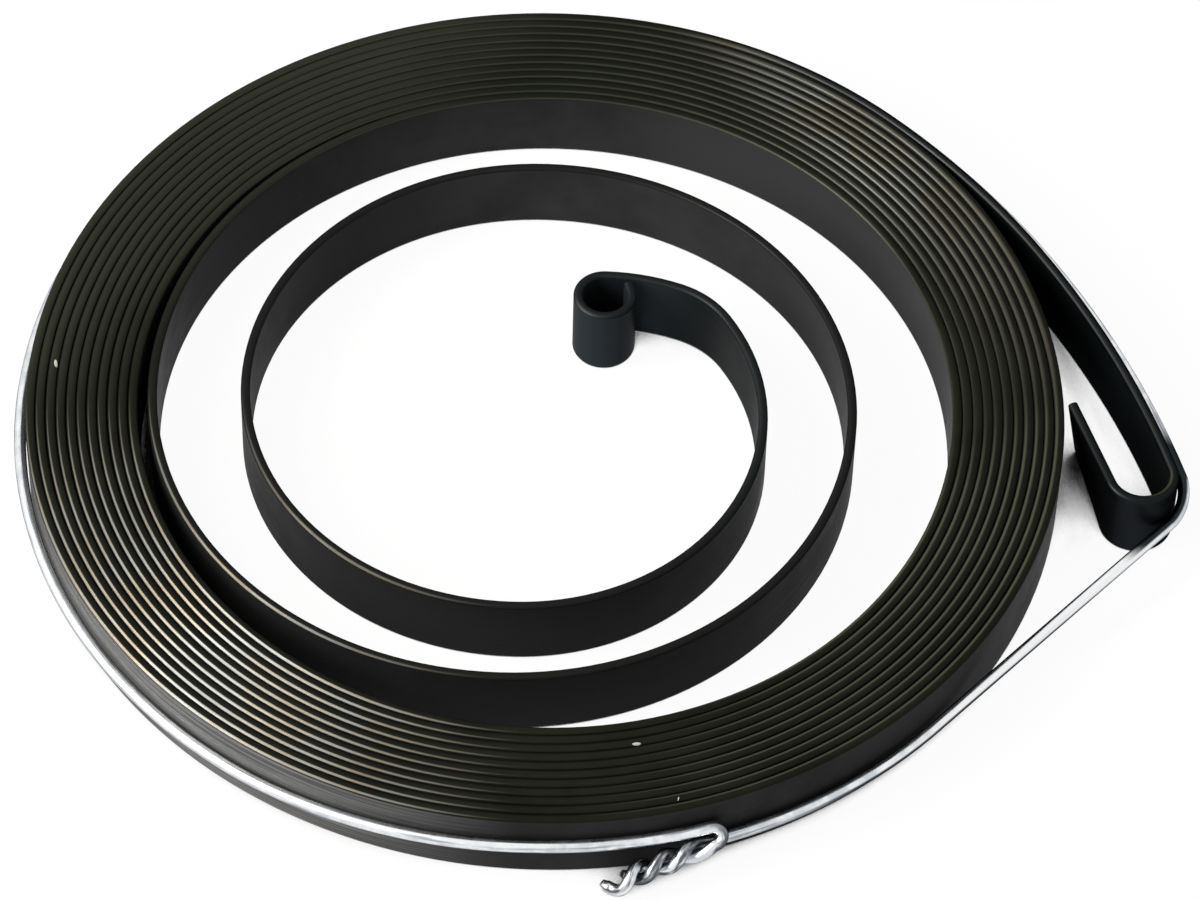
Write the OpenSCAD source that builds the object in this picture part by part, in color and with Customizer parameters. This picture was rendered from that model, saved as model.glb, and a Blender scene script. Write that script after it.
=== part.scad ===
// Recoil starter spring: a flat spiral of tempered strip steel, wound into a pack that a loop of
// tie wire keeps closed, as the spring comes before it is fitted into a starter.
// The strip stands on its edge on z = 0, the coil's axis is +Z, and +X points at the outer hook.
// Seen from above, the strip runs clockwise from the eye in the middle out to the hook.

/* [Strip] */
// Width of the strip, which is the height of the coil
strip_w = 6; // [4:0.5:14]
// Thickness of the strip
strip_t = 0.7; // [0.3:0.01:0.7]

/* [Pack] */
// Radius of the innermost packed half turn, at the middle of the strip
pack_r = 30; // [27:0.1:45]
// Number of packed turns
pack_turns = 11; // [3:1:14]
// Distance from one packed turn to the next
pitch = 0.75; // [0.72:0.01:1.2]

/* [Loose turns] */
// Shrink of each quarter turn against the one outside it, on the outer loose turn
outer_shrink = [1, 2.7, 1.3, 2]; // [0.6:0.1:3]
// Shrink of each quarter turn against the one outside it, on the inner loose turn
inner_shrink = [1.5, 1.3, 2.4]; // [0.6:0.1:3]

/* [Inner end] */
// Radius of the neck, which leads in from the loose turns
neck_r = 17.8; // [15:0.1:24]
// Radius of the knee, the tight bend after the neck
knee_r = 7; // [5:0.1:9]
// Radius of the shank, which carries the eye
shank_r = 16; // [12:0.1:25]
// Inside diameter of the eye
eye_d = 3.3; // [2.4:0.05:4.3]
// Straight tip of the strip, past the eye
tip_l = 0.7; // [0.3:0.1:0.8]

/* [Hook] */
// Radius of the tail where it leaves the pack
tail_near_r = 60.7; // [55:0.1:90]
// Radius of the tail where it meets the hook
tail_far_r = 79; // [55:0.1:90]
// Inside diameter of the hook
hook_d = 4.05; // [3:0.05:5]
// Length of the hook's free leg
hook_leg = 7.5; // [3:0.5:8]

/* [Tie wire] */
// Diameter of the wire
wire_d = 0.9; // [0.5:0.05:1.2]
// Clearance between the wire and the strip
wire_gap = 0.06; // [0.05:0.01:0.3]
// How far above half height the wire runs along the tail
wire_climb = 1.2; // [0:0.1:1.8]
// How far below half height the wire runs on one side of the twist
wire_dip = 0.9; // [0.6:0.1:1.2]
// How far above half height the wire runs on the other side of the twist
wire_rise = 0.7; // [0.6:0.1:0.9]
// Angle round the coil at which the two ends are twisted together
twist_at = -71; // [-85:1:-55]
// Length of the twist
twist_l = 8.2; // [7.5:0.1:12]
// Turns of the two wires about each other
twist_turns = 2; // [1:0.25:2]
// Angle at which the twist stands out from the coil
twist_out = 5; // [4:1:40]
// How much shorter one cut end is than the other
twist_step = 1.5; // [0:0.1:2]
// How far each cut end opens away from the other
twist_splay = 0.3; // [0:0.1:0.6]
// Height of the twist at its cut ends
twist_end_z = 1.5; // [1.4:0.1:2]

/* [Hidden] */
$fa = 3;
$fs = 0.3;
QUARTER = 90;
HALF = 180;
// Angle by which a bend is drawn too long before its end is cut square
spare_turn = 10;
// Two angles from the whole-number triangles 7-24-25 and 3-4-5, of 16.3 and 20.6 degrees. Each bend
// turns by a sum of these and of right angles, so its sine and cosine are short decimals and it meets
// the next bend exactly.
turn_a = atan2(7, 24);
turn_b = atan2(3, 4) - turn_a;
neck_turn = 2 * turn_a;
knee_turn = turn_a + turn_b;
shank_turn = turn_b;
eye_turn = 3 * QUARTER + turn_a;
lead_turn = 2 * turn_b;
tail_turn = turn_a;
eye_r = (eye_d + strip_t) / 2;
hook_r = (hook_d + strip_t) / 2;
// Half turns are numbered from the inside, and the tail starts on the one after the last
lead = 2 * pack_turns;
loose_shrink = concat(outer_shrink, inner_shrink);
loose_quarters = len(loose_shrink);
// Angles round the coil where the tail leaves the pack, where it flattens, and where the hook starts
tail_from = QUARTER - lead_turn;
tail_mid = tail_from - tail_turn;
tail_to = tail_mid - tail_turn;
// Radius of the wire, and of the helix that each wire makes in the twist
wire_r = wire_d / 2;
helix_r = wire_r + wire_gap;
// Distance from the middle of the strip to the middle of the wire lying on it
belt = strip_t / 2 + wire_gap + wire_r;
wire_mid = strip_w / 2;
wire_low = wire_mid - wire_dip;
wire_high = wire_mid + wire_rise;
wire_top = wire_mid + wire_climb;
// Sides of the wire's section, and its rings along the twist and along the fold above it
wire_sides = 10;
twist_steps = 24;
fold_steps = 8;
// Tilt of the twist's root, where one wire lies outside and above the other
root_tilt = 35;
// How slowly the twist starts at its root, where 1 is an even helix
twist_ease = 1.25;
// Part of the twist after which its ends open, and angle behind which the wire starts to rise
splay_from = 0.6;
rise_from = 240;

function total(list, k) = k < 0 ? 0 : list[k] + total(list, k - 1);
function polar(r, a) = [r * cos(a), r * sin(a)];
function unit(v) = v / norm(v);
function half_r(n) = pack_r + n * pitch / 2;
function half_centre(n) = [0, (n % 2 == 0 ? -1 : 1) * pitch / 4];

// Loose quarter turns are numbered from the pack inwards, and each is tangent to the one before
function loose_r(k) = pack_r - total(loose_shrink, k);
function loose_centre(k) = k < 0 ? half_centre(0)
    : loose_centre(k - 1) + polar(loose_r(k - 1) - loose_r(k), QUARTER * (k + 1));

// Bends as [radius, angle], from the loose turns in to the eye, and from the pack out to the hook
inner_bends = [[neck_r, neck_turn], [knee_r, knee_turn], [shank_r, shank_turn], [eye_r, eye_turn]];
outer_bends = [
    [half_r(lead), lead_turn], [tail_near_r, tail_turn], [tail_far_r, tail_turn], [hook_r, HALF]
];

// Section of the strip, standing on its edge
module strip_section() {
    translate([-strip_t / 2, 0]) square([strip_t, strip_w]);
}

// Strip bent to radius r about the origin, between two angles
module strip_arc(r, from, to) {
    rotate_extrude(start = min(from, to), angle = abs(to - from))
        translate([r, 0]) strip_section();
}

// Straight strip that carries on from an arc's end on the X axis
module strip_straight(r, length, way) {
    translate([r, way > 0 ? length : 0, 0]) rotate([90, 0, 0])
        linear_extrude(length) strip_section();
}

// One bend from the X axis, way = 1 turning left and -1 turning right. It is drawn too long and cut
// square, and its children start from the cut.
module bend(r, turn, way) {
    difference() {
        strip_arc(r, 0, way * (turn + spare_turn));
        rotate([0, 0, way * turn]) translate([r / 2, way > 0 ? 0 : -r / 2, -strip_w / 2])
            cube([r, r / 2, 2 * strip_w]);
    }
    rotate([0, 0, way * turn]) children();
}

// Bends one after the other, each tangent to the last, with a straight piece at the end
module chain(bends, way, end_l, k = 0) {
    r = bends[k][0];
    bend(r, bends[k][1], way) {
        if (k + 1 < len(bends))
            translate([r - bends[k + 1][0], 0, 0]) chain(bends, way, end_l, k + 1);
        else
            strip_straight(r, end_l, way);
    }
}

// Tight coil of half turns, struck in turn from two centres
module pack() {
    for (n = [0 : lead - 1])
        translate(half_centre(n)) rotate([0, 0, n % 2 == 0 ? -QUARTER : QUARTER])
            strip_arc(half_r(n), 0, HALF);
}

// Open coil of quarter turns inside the pack
module loose_turns() {
    for (k = [0 : loose_quarters - 1])
        translate(loose_centre(k)) rotate([0, 0, QUARTER * (k + 1)])
            strip_arc(loose_r(k), 0, QUARTER);
}

module spring_strip() {
    innermost = loose_quarters - 1;
    color([0.16, 0.165, 0.17]) union() {
        pack();
        loose_turns();
        translate(loose_centre(innermost)) rotate([0, 0, QUARTER * (loose_quarters + 1)])
            translate([loose_r(innermost) - neck_r, 0, 0]) chain(inner_bends, 1, tip_l);
        translate(half_centre(lead)) rotate([0, 0, QUARTER])
            chain(outer_bends, -1, hook_leg);
    }
}

// Points on an arc, close enough for the wire between them to sag by no more than half its clearance
function arc_points(centre, r, from, to) =
    let (n = ceil(abs(to - from) / (2 * acos(1 - wire_gap / 2 / r))))
    [for (i = [0 : n]) centre + polar(r, from + (to - from) * i / n)];

// Flat points raised to a height that changes evenly from z0 to z1
function raised(points, z0, z1) =
    let (n = len(points) - 1)
    [for (i = [0 : n]) [points[i].x, points[i].y, z0 + (z1 - z0) * i / n]];

// The wire lies on the last turn in front, on the hook, on the tail, and on the last turn behind
near_centre = half_centre(lead) + polar(half_r(lead) - tail_near_r, tail_from);
far_centre = near_centre + polar(tail_near_r - tail_far_r, tail_mid);
hook_centre = far_centre + polar(tail_far_r - hook_r, tail_to);
front_centre = half_centre(lead - 2);
front_r = half_r(lead - 2) + belt;
wire_hook_r = hook_r + belt;
span = hook_centre - front_centre;
leave_at = atan2(span.y, span.x) - acos((front_r - wire_hook_r) / norm(span));

// Directions at the twist: along the coil, out from it, and along the twist to its cut ends
along = [-sin(twist_at), cos(twist_at), 0];
out = [cos(twist_at), sin(twist_at), 0];
root_a = [each front_centre + polar(front_r, twist_at), wire_low];
twist_drop = wire_low + helix_r * sin(root_tilt) - twist_end_z;
flat_l = sqrt(twist_l * twist_l - twist_drop * twist_drop);
twist_dir = (flat_l * (sin(twist_out) * out - cos(twist_out) * along) - [0, 0, twist_drop]) / twist_l;
tilted = cos(root_tilt) * out + [0, 0, sin(root_tilt)];
root_side = unit(tilted - (tilted * twist_dir) * twist_dir);
root_up = cross(root_side, twist_dir);
root_b = root_a + 2 * helix_r * root_side;

// Point on one wire of the twist, s along it, with side -1 for the lower wire and 1 for the upper
function twist_point(s, side) =
    let (
        a = 360 * twist_turns * pow(s / twist_l, twist_ease),
        open = max(0, s / twist_l - splay_from) / (1 - splay_from),
        r = helix_r + twist_splay * open * open
    )
    root_a + helix_r * root_side + s * twist_dir
        + side * r * (cos(a) * root_side + sin(a) * root_up);

function twist_wire(length, side) =
    [for (i = [0 : twist_steps]) twist_point(length * i / twist_steps, side)];

// The upper wire passes over the root and folds back into the twist in half a circle
fold_from = [root_a.x, root_a.y, wire_high];
fold_r = norm(root_b - fold_from) / 2;
function fold_point(a) =
    fold_from + (root_b - fold_from) * (1 - cos(a)) / 2 + fold_r * sin(a) * along;

function backwards(list) = [for (i = [len(list) - 1 : -1 : 0]) list[i]];
function tail_of(list) = [for (i = [1 : len(list) - 1]) list[i]];

// From one cut end through the twist, along the front, up round the hook to the tail, down behind the
// coil, and back to the other cut end
wire_path = concat(
    backwards(twist_wire(twist_l, -1)),
    tail_of(raised(arc_points(front_centre, front_r, twist_at, leave_at), wire_low, wire_low)),
    raised(arc_points(hook_centre, wire_hook_r, leave_at, tail_to), wire_mid, wire_top),
    tail_of(raised(arc_points(far_centre, tail_far_r + belt, tail_to, tail_mid), wire_top, wire_top)),
    tail_of(raised(arc_points(near_centre, tail_near_r + belt, tail_mid, tail_from), wire_top, wire_top)),
    tail_of(raised(concat(
        arc_points(half_centre(lead), half_r(lead) + belt, tail_from, QUARTER),
        tail_of(arc_points(half_centre(lead - 1), half_r(lead - 1) + belt, QUARTER, HALF))
    ), wire_top, wire_mid)),
    tail_of(raised(
        arc_points(half_centre(lead - 1), half_r(lead - 1) + belt, HALF, rise_from), wire_mid, wire_mid)),
    tail_of(raised(
        arc_points(half_centre(lead - 1), half_r(lead - 1) + belt, rise_from, 3 * QUARTER), wire_mid, wire_high)),
    tail_of(raised(arc_points(front_centre, front_r, -QUARTER, twist_at), wire_high, wire_high)),
    [for (i = [1 : fold_steps - 1]) fold_point(HALF * i / fold_steps)],
    twist_wire(twist_l - twist_step, 1)
);

// Round wire swept along a list of points
module wire_along(points, r, sides) {
    last = len(points) - 1;
    rings = [for (i = [0 : last])
        let (
            ahead = unit(points[min(i + 1, last)] - points[max(i - 1, 0)]),
            across = unit(cross(ahead, [0, 0, 1])),
            up = cross(across, ahead)
        )
        for (k = [0 : sides - 1]) points[i] + r * (cos(360 * k / sides) * across + sin(360 * k / sides) * up)];
    walls = [for (i = [0 : last - 1], k = [0 : sides - 1])
        let (a = i * sides + k, b = i * sides + (k + 1) % sides)
        each [[a, a + sides, b], [b, a + sides, b + sides]]];
    caps = [
        [for (k = [0 : sides - 1]) k],
        [for (k = [sides - 1 : -1 : 0]) last * sides + k]
    ];
    polyhedron(rings, concat(walls, caps));
}

module tie_wire() {
    color([0.72, 0.75, 0.78]) wire_along(wire_path, wire_r, wire_sides);
}

spring_strip();
tie_wire();
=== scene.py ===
# %% [markdown]
# # Recoil starter spring
#
# This is the flat spiral spring of a pull starter as it comes before fitting: 2.7 m of thin blued strip,
# wound into a tight pack that a loop of tie wire keeps closed. Its inner end is rolled into an eye for the
# rope drum, and its outer end is bent into a hook for a post in the housing.
#
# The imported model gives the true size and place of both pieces. It is loaded first, and everything below
# is made in its frame: metres, the coil's axis along +Z, and the hook towards +X.

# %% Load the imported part
import math

import bmesh
import bpy
from mathutils import Matrix, Vector


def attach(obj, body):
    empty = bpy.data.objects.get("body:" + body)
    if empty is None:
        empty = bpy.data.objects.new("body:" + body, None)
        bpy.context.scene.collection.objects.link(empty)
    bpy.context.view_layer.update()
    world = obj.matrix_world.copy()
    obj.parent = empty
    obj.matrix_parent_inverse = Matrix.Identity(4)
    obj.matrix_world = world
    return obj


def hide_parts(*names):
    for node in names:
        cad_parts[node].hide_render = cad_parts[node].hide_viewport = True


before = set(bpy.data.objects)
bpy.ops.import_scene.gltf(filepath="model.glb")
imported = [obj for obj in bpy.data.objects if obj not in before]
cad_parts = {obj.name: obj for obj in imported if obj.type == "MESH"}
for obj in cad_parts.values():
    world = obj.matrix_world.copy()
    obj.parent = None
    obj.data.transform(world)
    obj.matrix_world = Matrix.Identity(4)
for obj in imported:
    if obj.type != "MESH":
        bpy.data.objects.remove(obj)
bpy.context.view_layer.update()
print("CAD nodes:", sorted(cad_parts))

# %% [markdown]
# ## The run of the strip
#
# The middle line of the strip is a chain of arcs, each of which starts in the direction in which the last
# one ended. A list of radii and angles holds all of it, so a small walker that steps along the list is
# enough to find every point. A spiral formula would give the pack, but neither the loose turns nor the
# bends at the two ends.
#
# The walk starts on the innermost packed turn. It goes outwards to the hook, turning right all the way,
# and inwards to the eye, turning left all the way. Lengths are in millimetres until the points are made.

# %% Sizes of the strip
MM = 0.001
STRIP_W = 6.0
STRIP_T = 0.7
# The first packed turn, the number of packed turns, and the step from one to the next
PACK_R = 30.0
PACK_TURNS = 11
PITCH = 0.75
# Quarter circles that shrink inwards, and the bends from the last of them to the eye
LOOSE_RADII = (29.0, 26.3, 25.0, 23.0, 21.5, 20.2, 17.8)
NECK_R = 17.8
KNEE_R = 7.0
SHANK_R = 16.0
EYE_R = 2.0
TIP_L = 0.7
# The two bends of the tail, and the hook with its straight leg
TAIL_NEAR_R = 60.7
TAIL_FAR_R = 79.0
HOOK_R = 2.375
HOOK_LEG = 7.5
# The bends turn by sums of these two angles and of right angles.
TURN_A = math.degrees(math.atan2(7, 24))
TURN_B = math.degrees(math.atan2(3, 4)) - TURN_A
QUARTER = 90.0
HALF = 180.0
LEAD_R = PACK_R + PACK_TURNS * PITCH

inner_bends = [(radius, QUARTER) for radius in LOOSE_RADII]
inner_bends += [(NECK_R, 2 * TURN_A), (KNEE_R, TURN_A + TURN_B), (SHANK_R, TURN_B)]
inner_bends += [(EYE_R, 3 * QUARTER + TURN_A)]
outer_bends = [(PACK_R + n * PITCH / 2, HALF) for n in range(2 * PACK_TURNS)]
outer_bends += [(LEAD_R, 2 * TURN_B), (TAIL_NEAR_R, TURN_A), (TAIL_FAR_R, TURN_A), (HOOK_R, HALF)]
strip_length = TIP_L + HOOK_LEG
strip_length += sum(radius * math.radians(turn) for radius, turn in inner_bends + outer_bends)
print("strip length, mm:", round(strip_length))

# %% Walk along the bends
LEFT = 1
RIGHT = -1
# How far a straight step may cut inside its arc
SAG = 0.006


def arc_steps(radius, angle):
    """Steps that an arc of this angle, in radians, is cut into."""
    return math.ceil(abs(angle) / (2 * math.acos(1 - SAG / radius)))


def walk(start, heading, bends, side, end_l):
    """Points along bends that all turn to one side, and along a straight piece at their end."""
    place = Vector(start)
    points = [place.copy()]
    for radius, turn in bends:
        steps = arc_steps(radius, math.radians(turn))
        half_step = side * math.radians(turn) / steps / 2
        chord = 2 * radius * math.sin(abs(half_step))
        for _ in range(steps):
            heading += half_step
            place += Vector((chord * math.cos(heading), chord * math.sin(heading), 0))
            heading += half_step
            points.append(place.copy())
    points.append(place + Vector((end_l * math.cos(heading), end_l * math.sin(heading), 0)))
    return points


pack_start = (0, PACK_R - PITCH / 4, STRIP_W / 2)
inwards = walk(pack_start, math.pi, inner_bends, LEFT, TIP_L)
outwards = walk(pack_start, 0, outer_bends, RIGHT, HOOK_LEG)
strip_run = inwards[:0:-1] + outwards
print("points on the strip:", len(strip_run))

# %% [markdown]
# ## The run of the tie wire
#
# The wire starts at one cut end in front of the coil, comes up through the twist, runs round the pack to
# the hook, over the tail and round the back, crosses above its own start, folds over, and goes down the
# twist again. It rests on the strip everywhere but in the free span between the pack and the hook. Its
# path is drawn in the same way as the strip's, with points on arcs, and the twist is two helices about
# one axis.

# %% Sizes of the tie wire
WIRE_D = 0.9
# Room between the wire and what it lies on
WIRE_GAP = 0.06
# How far the wire lies above the middle of the strip on the tail, below it at the front, and above it
# where it crosses its own start, and the direction from which it rises to that crossing
WIRE_CLIMB = 1.2
WIRE_DIP = 0.9
WIRE_RISE = 0.7
RISE_FROM = math.radians(240)
# Where the twist stands, how long it is, how far it leans outwards, and how high its far end lies
TWIST_AT = math.radians(-71)
TWIST_L = 8.2
TWIST_OUT = math.radians(5)
TWIST_END_Z = 1.5
# Its turns, which are slacker at the root, and the tilt of the two wires there
TWIST_TURNS = 2
TWIST_EASE = 1.25
ROOT_TILT = math.radians(35)
# One end is cut shorter by a step, and the ends spread apart over the last part of the length.
TWIST_STEP = 1.5
TWIST_SPLAY = 0.3
SPLAY_FROM = 0.6
TWIST_POINTS = 72
FOLD_POINTS = 20

wire_r = WIRE_D / 2
helix_r = wire_r + WIRE_GAP
belt = STRIP_T / 2 + WIRE_GAP + wire_r
wire_mid = STRIP_W / 2
wire_low = wire_mid - WIRE_DIP
wire_high = wire_mid + WIRE_RISE
wire_top = wire_mid + WIRE_CLIMB
print("the wire lies between these heights, mm:", round(wire_low, 2), round(wire_top, 2))

# %% Helpers for points on arcs
UP = Vector((0, 0, 1))


def polar(radius, angle):
    """A flat vector of one length in one direction."""
    return Vector((radius * math.cos(angle), radius * math.sin(angle), 0))


def arc(centre, radius, start, end, low, high):
    """Points on an arc whose height changes evenly from low to high."""
    steps = arc_steps(radius, end - start)
    parts = [n / steps for n in range(steps + 1)]
    return [centre + polar(radius, start + (end - start) * t) + UP * (low + (high - low) * t) for t in parts]


# %% Centres that the wire goes round
east_centre = Vector((0, -PITCH / 4, 0))
west_centre = Vector((0, PITCH / 4, 0))
front_r = LEAD_R - PITCH + belt
back_r = LEAD_R - PITCH / 2 + belt
top = math.radians(QUARTER)
tail_from = math.radians(QUARTER - 2 * TURN_B)
tail_mid = tail_from - math.radians(TURN_A)
tail_to = tail_mid - math.radians(TURN_A)
near_centre = east_centre + polar(LEAD_R - TAIL_NEAR_R, tail_from)
far_centre = near_centre + polar(TAIL_NEAR_R - TAIL_FAR_R, tail_mid)
hook_centre = far_centre + polar(TAIL_FAR_R - HOOK_R, tail_to)
span = hook_centre - east_centre
wire_hook_r = HOOK_R + belt
# The wire comes down evenly from the tail to a quarter turn past the back of the coil.
fall = (top - tail_from) / (2 * top - tail_from)
wire_back = wire_top + (wire_mid - wire_top) * fall
leave_at = math.atan2(span.y, span.x) - math.acos((front_r - wire_hook_r) / span.length)
print("centre of the hook, mm:", [round(value, 3) for value in hook_centre])

# %% Points round the coil
coil_wire = arc(east_centre, front_r, TWIST_AT, leave_at, wire_low, wire_low)
coil_wire += arc(hook_centre, wire_hook_r, leave_at, tail_to, wire_mid, wire_top)
coil_wire += arc(far_centre, TAIL_FAR_R + belt, tail_to, tail_mid, wire_top, wire_top)[1:]
coil_wire += arc(near_centre, TAIL_NEAR_R + belt, tail_mid, tail_from, wire_top, wire_top)[1:]
coil_wire += arc(east_centre, LEAD_R + belt, tail_from, top, wire_top, wire_back)[1:]
coil_wire += arc(west_centre, back_r, top, 2 * top, wire_back, wire_mid)[1:]
coil_wire += arc(west_centre, back_r, 2 * top, RISE_FROM, wire_mid, wire_mid)[1:]
coil_wire += arc(west_centre, back_r, RISE_FROM, 3 * top, wire_mid, wire_high)[1:]
coil_wire += arc(east_centre, front_r, -top, TWIST_AT, wire_high, wire_high)[1:]
print("points on the wire round the coil:", len(coil_wire))

# %% Points along the twist
along = Vector((-math.sin(TWIST_AT), math.cos(TWIST_AT), 0))
out = polar(1, TWIST_AT)
root_low = coil_wire[0]
drop = wire_low + helix_r * math.sin(ROOT_TILT) - TWIST_END_Z
flat_l = math.sqrt(TWIST_L**2 - drop**2)
twist_axis = flat_l * (math.sin(TWIST_OUT) * out - math.cos(TWIST_OUT) * along) - drop * UP
twist_axis /= TWIST_L
tilted = math.cos(ROOT_TILT) * out + math.sin(ROOT_TILT) * UP
root_side = (tilted - tilted.dot(twist_axis) * twist_axis).normalized()
root_up = root_side.cross(twist_axis)
root_high = root_low + 2 * helix_r * root_side


def twist_wire(length, side):
    """One of the two wires of the twist, from its root to its cut end."""
    points = []
    for n in range(TWIST_POINTS + 1):
        reach = length * n / TWIST_POINTS
        angle = 2 * math.pi * TWIST_TURNS * (reach / TWIST_L) ** TWIST_EASE
        opened = max(0.0, reach / TWIST_L - SPLAY_FROM) / (1 - SPLAY_FROM)
        radius = helix_r + TWIST_SPLAY * opened**2
        turned = math.cos(angle) * root_side + math.sin(angle) * root_up
        points.append(root_low + helix_r * root_side + reach * twist_axis + side * radius * turned)
    return points


def fold():
    """Half a circle, in which the upper wire turns back into the twist."""
    start = coil_wire[-1]
    across = root_high - start
    points = []
    for n in range(1, FOLD_POINTS):
        angle = math.pi * n / FOLD_POINTS
        bulge = across.length / 2 * math.sin(angle) * along
        points.append(start + across * (1 - math.cos(angle)) / 2 + bulge)
    return points


lower_twist = twist_wire(TWIST_L, -1)
upper_twist = twist_wire(TWIST_L - TWIST_STEP, 1)
wire_run = lower_twist[:0:-1] + coil_wire + fold() + upper_twist
print("points on the wire:", len(wire_run))

# %% [markdown]
# ## The sections
#
# Both pieces are one section carried along one path. The strip is slit and rolled, so its section is a
# tall, thin rectangle whose edges are a little round: those edges are what glints on the pack. The wire's
# section is a circle.
#
# Each section is a loop of points that also says how far round it each point lies, and whether the point
# is on a rim, which is the narrow face of the strip. The materials read these two values. A point just
# inside each corner keeps the wide faces flat when the mesh is shaded smooth.

# %% A loop of edges with two values
def section_object(name, points):
    """A closed loop of edges with the values round and rim on its points."""
    mesh = bpy.data.meshes.new(name)
    count = len(points)
    edges = [(n, (n + 1) % count) for n in range(count)]
    mesh.from_pydata([(x * MM, y * MM, 0) for x, y, _ in points], edges, [])
    far_round = mesh.attributes.new("round", "FLOAT", "POINT")
    on_rim = mesh.attributes.new("rim", "FLOAT", "POINT")
    travelled = 0.0
    for n, (x, y, rim) in enumerate(points):
        if n:
            travelled += math.dist(points[n - 1][:2], (x, y))
        far_round.data[n].value = travelled * MM
        on_rim.data[n].value = rim
    made = bpy.data.objects.new(name, mesh)
    bpy.context.collection.objects.link(made)
    print(name, "has", count, "points")
    return made


# %% Draw the strip's section
# Room for the turns to stand higher and lower than each other
LIFT = 0.02
# How far the rounded edges reach across the thickness and along the width
EDGE_X = 0.34
EDGE_Z = 0.24
CORNER_STEPS = 6
# How far inside a corner the extra point of a wall lies
FLAT_L = 0.06


def strip_section():
    """Corner by corner, as (x, y, rim), with x across the thickness and y across the width."""
    corners = ((1, 1, 0), (-1, 1, 1), (-1, -1, 2), (1, -1, 3))
    half_w = STRIP_W / 2 - LIFT
    points = []
    for side_x, side_y, quarter in corners:
        centre = Vector((side_x * (STRIP_T / 2 - EDGE_X), side_y * (half_w - EDGE_Z)))
        for step in range(CORNER_STEPS + 1):
            angle = math.radians(QUARTER) * (quarter + step / CORNER_STEPS)
            spot = centre + Vector((EDGE_X * math.cos(angle), EDGE_Z * math.sin(angle)))
            points.append((spot.x, spot.y, abs(math.sin(angle))))
        wall_y = side_y * (half_w - EDGE_Z - FLAT_L)
        wall_point = (side_x * STRIP_T / 2, wall_y, 0.0)
        if side_x * side_y > 0:
            points.insert(len(points) - CORNER_STEPS - 1, wall_point)
        else:
            points.append(wall_point)
    return points


strip_loop = section_object("strip_section", strip_section())

# %% Draw the wire's section
WIRE_SIDES = 20
# The zinc is drawn this much inside the CAD wire, so that no facet stands proud of it.
WIRE_TRIM = 0.01


def wire_section():
    """A circle, as (x, y, rim)."""
    angles = [2 * math.pi * n / WIRE_SIDES for n in range(WIRE_SIDES)]
    radius = wire_r - WIRE_TRIM
    return [(radius * math.cos(angle), radius * math.sin(angle), 0.0) for angle in angles]


wire_loop = section_object("wire_section", wire_section())

# %% [markdown]
# ## Nodes, placed in a line or two
#
# Node trees in a script get long when every link is a line of its own. This helper adds a node and takes
# its inputs by name: a socket is linked, and any other value is set.

# %% Helpers for node trees
def add(tree, kind, inputs=None, **settings):
    """Adds a node. An input that is a socket is linked, and any other is set."""
    made = tree.nodes.new(kind)
    for name, value in settings.items():
        setattr(made, name, value)
    for name, value in (inputs or {}).items():
        socket = made.inputs[name]
        if isinstance(value, bpy.types.NodeSocket):
            tree.links.new(value, socket)
        else:
            socket.default_value = value
    return made


def math_node(tree, operation, first, second=0.0):
    """The result of a sum on two numbers or sockets."""
    return add(tree, "ShaderNodeMath", {0: first, 1: second}, operation=operation).outputs[0]


def ramp(tree, value, low, high, to_low=0.0, to_high=1.0):
    """A value that goes smoothly from to_low to to_high as the input goes from low to high."""
    limits = {"Value": value, "From Min": low, "From Max": high, "To Min": to_low, "To Max": to_high}
    return add(tree, "ShaderNodeMapRange", limits, interpolation_type="SMOOTHSTEP").outputs["Result"]


def new_socket(tree, name, kind, direction, default=None):
    """Adds a named input or output to a node group."""
    socket = tree.interface.new_socket(name, in_out=direction, socket_type="NodeSocket" + kind)
    if default is not None:
        socket.default_value = default
    return socket


# %% [markdown]
# ## A tree that sweeps a section along a run
#
# Blender's curve bevel could do this, but Geometry Nodes can also store how far along the run each point
# lies, which the materials need, and can move the path a little before it is swept. No coil is quite even:
# its turns stand slightly higher and lower, and nearer and further from each other. Two noises along the
# length give that. The wire's cut ends are pinched by the cutters, so the section shrinks over the last
# half millimetre. The hook's free leg leans, so the path can also be tilted towards its end.

# %% Inputs of the sweep tree
sweep = bpy.data.node_groups.new("Section swept along a run", "GeometryNodeTree")
new_socket(sweep, "Run", "Geometry", "INPUT")
SWEEP_INPUTS = {
    name: new_socket(sweep, name, kind, "INPUT").identifier
    for name, kind in (
        ("Section", "Object"),
        ("Stands on Edge", "Bool"),
        ("Lift", "Float"),
        ("Sway", "Float"),
        ("Wave Length", "Float"),
        ("End Scale", "Float"),
        ("Pinched Length", "Float"),
        ("Last Lean", "Float"),
        ("Lean Length", "Float"),
        ("Finish", "Material"),
    )
}
new_socket(sweep, "Piece", "Geometry", "OUTPUT")
given = add(sweep, "NodeGroupInput").outputs
print("inputs of the sweep tree:", ", ".join(SWEEP_INPUTS))

# %% Lay the path
distance = add(sweep, "GeometryNodeSplineParameter").outputs["Length"]
total = add(sweep, "GeometryNodeSplineLength").outputs["Length"]
to_last = math_node(sweep, "SUBTRACT", total, distance)
path = add(sweep, "GeometryNodeMeshToCurve", {"Mesh": given["Run"]}).outputs["Curve"]
stored = {"Geometry": path, "Name": "along", "Value": distance}
path = add(sweep, "GeometryNodeStoreNamedAttribute", stored, data_type="FLOAT").outputs["Geometry"]
on_edge = add(sweep, "GeometryNodeSetCurveNormal", {"Curve": path}, mode="Z_UP").outputs["Curve"]
as_wire = add(sweep, "GeometryNodeSetCurveNormal", {"Curve": path}, mode="MINIMUM_TWIST").outputs["Curve"]
either = {"Switch": given["Stands on Edge"], "False": as_wire, "True": on_edge}
path = add(sweep, "GeometryNodeSwitch", either, input_type="GEOMETRY").outputs["Output"]
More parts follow.
